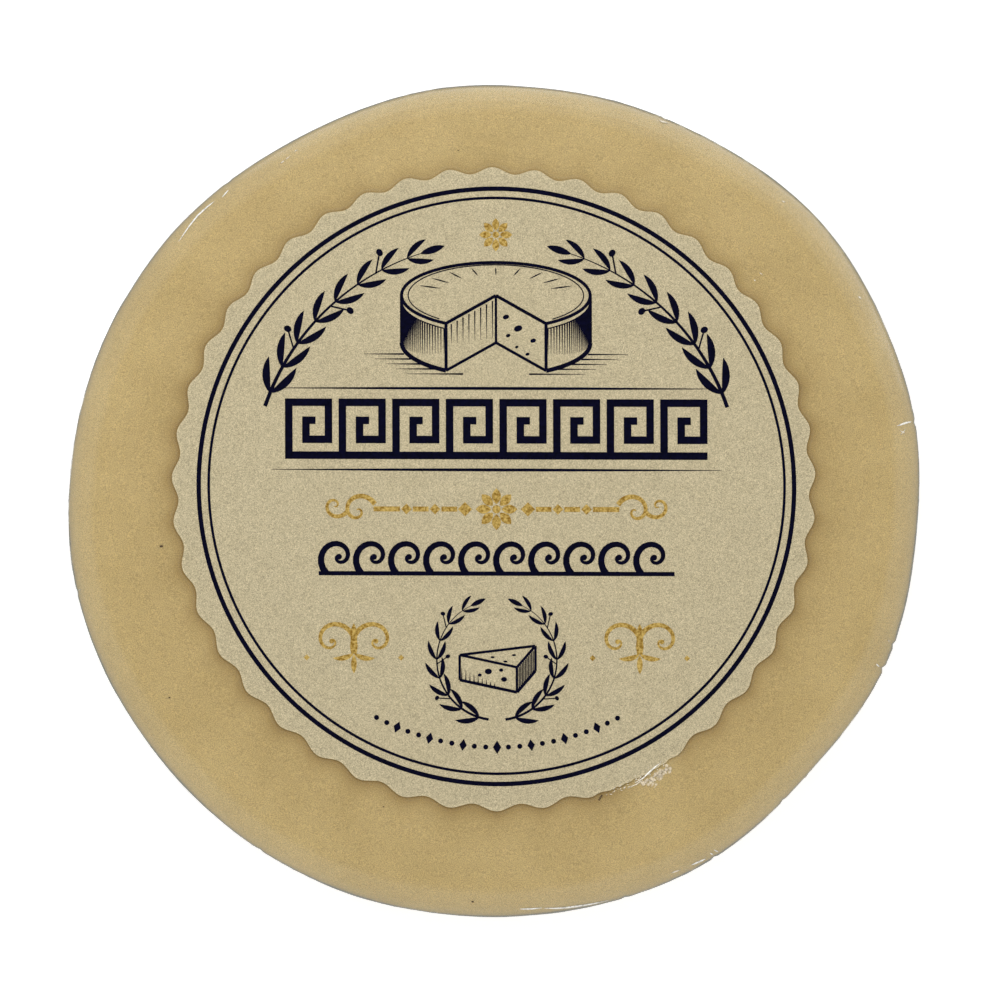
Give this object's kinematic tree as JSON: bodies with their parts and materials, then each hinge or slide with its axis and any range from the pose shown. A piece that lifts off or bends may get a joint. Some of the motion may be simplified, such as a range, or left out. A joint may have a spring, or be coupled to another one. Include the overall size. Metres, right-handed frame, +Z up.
{
  "type": "vacuum packed saganaki cheese",
  "caption": "Low round cheese for frying, vacuum packed in clear film, with a scallop-edged paper label flat on its top.",
  "frame": {"origin": "on the table, under the middle of the wheel's bounding box", "axes": "+Z up out of the labelled face, +Y to the label's top edge, +X to the label's right"},
  "size_m": [0.1194, 0.1166, 0.0266],
  "materials": {
    "cheese": "firm cream-yellow cheese, satin and slightly translucent",
    "clear_film": "clear glossy shrink film, tight to the cheese",
    "paper": "uncoated cream paper with fine fibres",
    "navy_ink": "dense dark navy print",
    "gold_foil": "dull gold print"
  },
  "bodies": {
    "root": {"wrapped_cheese": "cheese", "label": "paper"}
  },
  "joints": []
}
